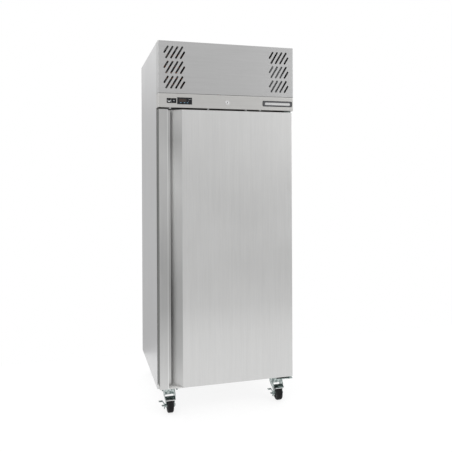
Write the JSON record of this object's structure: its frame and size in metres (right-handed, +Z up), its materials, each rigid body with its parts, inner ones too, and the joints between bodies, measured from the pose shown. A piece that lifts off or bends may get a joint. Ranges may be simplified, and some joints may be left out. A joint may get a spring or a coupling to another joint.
{
  "type": "reach in refrigerator",
  "caption": "Upright stainless reach-in refrigerator with a solid hinged door, top-mounted condensing unit behind louvres, wire shelves and braked swivel castors.",
  "frame": {"origin": "on the floor under the middle of the cabinet's footprint", "axes": "+Z up, the door faces -Y, +X to the right as seen from the front"},
  "size_m": [0.745, 0.751, 1.952],
  "materials": {
    "outer_steel": "satin",
    "inner_steel": "satin",
    "zinc": "satin",
    "pin_steel": "polished",
    "foam": "matte",
    "gasket": "matte",
    "control_black": "satin",
    "window_tint": "gloss",
    "key_blue": "satin",
    "bush_plastic": "satin",
    "badge": "satin",
    "lamp": "satin",
    "coil": "satin",
    "motor": "satin",
    "compressor_black": "satin",
    "copper": "satin",
    "fan_plastic": "matte",
    "box_grey": "matte",
    "tyre": "matte"
  },
  "bodies": {
    "root": {"left_side_panel": "outer_steel", "right_side_panel": "outer_steel", "rear_panel": "outer_steel", "roof_panel": "outer_steel", "base_panel": "outer_steel", "front_frame": "inner_steel", "cabinet_foam": "foam", "inner_liner": "inner_steel", "machine_deck": "inner_steel", "louvre_fascia": "outer_steel", "control_fascia": "outer_steel", "fascia_screws": "pin_steel", "controller_case": "control_black", "controller_window": "window_tint", "switch_frames": "control_black", "lock_ring": "pin_steel", "badge_plate": "badge", "hinge_brackets": "zinc", "shelf_pilasters": "inner_steel", "shelf_runners": "inner_steel", "interior_lamp": "lamp", "evaporator_coil": "coil", "evaporator_cover": "inner_steel", "fan_motors": "motor", "condenser_coil": "coil", "fan_shroud": "fan_plastic", "compressor": "compressor_black", "refrigerant_pipes": "copper", "filter_drier": "copper", "electrical_box": "box_grey", "cable_gland": "control_black", "castor_plates": "zinc"},
    "door": {"door_skin": "outer_steel", "door_foam": "foam", "door_liner": "inner_steel", "door_gasket": "gasket", "hinge_bushes": "bush_plastic", "lock_strike": "zinc"},
    "set_key": {"set_key": "key_blue"},
    "down_key": {"down_key": "key_blue"},
    "up_key": {"up_key": "key_blue"},
    "power_rocker": {"power_rocker": "control_black"},
    "light_rocker": {"light_rocker": "control_black"},
    "lock": {"lock_barrel": "pin_steel", "lock_cam": "zinc"},
    "condenser_fan": {"condenser_fan": "fan_plastic"},
    "evaporator_fan": {"evaporator_fan": "fan_plastic"},
    "lower_shelf": {"lower_shelf": "inner_steel"},
    "middle_shelf": {"middle_shelf": "inner_steel"},
    "upper_shelf": {"upper_shelf": "inner_steel"},
    "left_pedal": {"left_brake_pedal": "zinc"},
    "right_pedal": {"right_brake_pedal": "zinc"},
    "front_left_castor": {"front_left_fork": "zinc"},
    "front_left_wheel": {"front_left_wheel": "tyre"},
    "front_right_castor": {"front_right_fork": "zinc"},
    "front_right_wheel": {"front_right_wheel": "tyre"},
    "rear_left_castor": {"rear_left_fork": "zinc"},
    "rear_left_wheel": {"rear_left_wheel": "tyre"},
    "rear_right_castor": {"rear_right_fork": "zinc"},
    "rear_right_wheel": {"rear_right_wheel": "tyre"}
  },
  "joints": [
    {"name": "door_hinge", "type": "hinge", "parent": "root", "child": "door", "pos_m": [0.3465, -0.3455, 0], "axis": [0, 0, 1], "range_deg": [0, 115]},
    {"name": "set_key_press", "type": "slide", "parent": "root", "child": "set_key", "axis": [0, 1, 0], "range_m": [0, 0.0008], "stiffness_N_per_m": 300},
    {"name": "down_key_press", "type": "slide", "parent": "root", "child": "down_key", "axis": [0, 1, 0], "range_m": [0, 0.0008], "stiffness_N_per_m": 300},
    {"name": "up_key_press", "type": "slide", "parent": "root", "child": "up_key", "axis": [0, 1, 0], "range_m": [0, 0.0008], "stiffness_N_per_m": 300},
    {"name": "power_rocker_tilt", "type": "hinge", "parent": "root", "child": "power_rocker", "pos_m": [-0.315, -0.3685, 1.6432], "axis": [1, 0, 0], "range_deg": [-16, 0]},
    {"name": "light_rocker_tilt", "type": "hinge", "parent": "root", "child": "light_rocker", "pos_m": [-0.2895, -0.3685, 1.6432], "axis": [1, 0, 0], "range_deg": [-16, 0]},
    {"name": "lock_turn", "type": "hinge", "parent": "root", "child": "lock", "pos_m": [-0.003, -0.3715, 1.641], "axis": [0, 1, 0], "range_deg": [0, 90]},
    {"name": "condenser_fan_spin", "type": "hinge", "parent": "root", "child": "condenser_fan", "pos_m": [-0.18, -0.2205, 1.795], "axis": [0, 1, 0], "continuous": true},
    {"name": "evaporator_fan_spin", "type": "hinge", "parent": "root", "child": "evaporator_fan", "pos_m": [0, 0.0695, 1.4925], "axis": [0, 1, 0], "continuous": true},
    {"name": "lower_shelf_slide", "type": "slide", "parent": "root", "child": "lower_shelf", "axis": [0, -1, 0], "range_m": [0, 0.08]},
    {"name": "middle_shelf_slide", "type": "slide", "parent": "root", "child": "middle_shelf", "axis": [0, -1, 0], "range_m": [0, 0.08]},
    {"name": "upper_shelf_slide", "type": "slide", "parent": "root", "child": "upper_shelf", "axis": [0, -1, 0], "range_m": [0, 0.08]},
    {"name": "front_left_swivel", "type": "hinge", "parent": "root", "child": "front_left_castor", "pos_m": [-0.3045, -0.2615, 0.125], "axis": [0, 0, 1], "continuous": true},
    {"name": "front_left_roll", "type": "hinge", "parent": "front_left_castor", "child": "front_left_wheel", "pos_m": [-0.3045, -0.2965, 0.039], "axis": [1, 0, 0], "continuous": true},
    {"name": "front_right_swivel", "type": "hinge", "parent": "root", "child": "front_right_castor", "pos_m": [0.3045, -0.2615, 0.125], "axis": [0, 0, 1], "continuous": true},
    {"name": "front_right_roll", "type": "hinge", "parent": "front_right_castor", "child": "front_right_wheel", "pos_m": [0.3045, -0.2965, 0.039], "axis": [1, 0, 0], "continuous": true},
    {"name": "rear_left_swivel", "type": "hinge", "parent": "root", "child": "rear_left_castor", "pos_m": [-0.3045, 0.3263, 0.125], "axis": [0, 0, 1], "continuous": true},
    {"name": "rear_left_roll", "type": "hinge", "parent": "rear_left_castor", "child": "rear_left_wheel", "pos_m": [-0.3045, 0.2913, 0.039], "axis": [1, 0, 0], "continuous": true},
    {"name": "rear_right_swivel", "type": "hinge", "parent": "root", "child": "rear_right_castor", "pos_m": [0.3045, 0.3263, 0.125], "axis": [0, 0, 1], "continuous": true},
    {"name": "rear_right_roll", "type": "hinge", "parent": "rear_right_castor", "child": "rear_right_wheel", "pos_m": [0.3045, 0.2913, 0.039], "axis": [1, 0, 0], "continuous": true},
    {"name": "left_pedal_press", "type": "hinge", "parent": "front_left_castor", "child": "left_pedal", "pos_m": [-0.3045, -0.2965, 0.039], "axis": [1, 0, 0], "range_deg": [-20, 0]},
    {"name": "right_pedal_press", "type": "hinge", "parent": "front_right_castor", "child": "right_pedal", "pos_m": [0.3045, -0.2965, 0.039], "axis": [1, 0, 0], "range_deg": [-20, 0]}
  ]
}
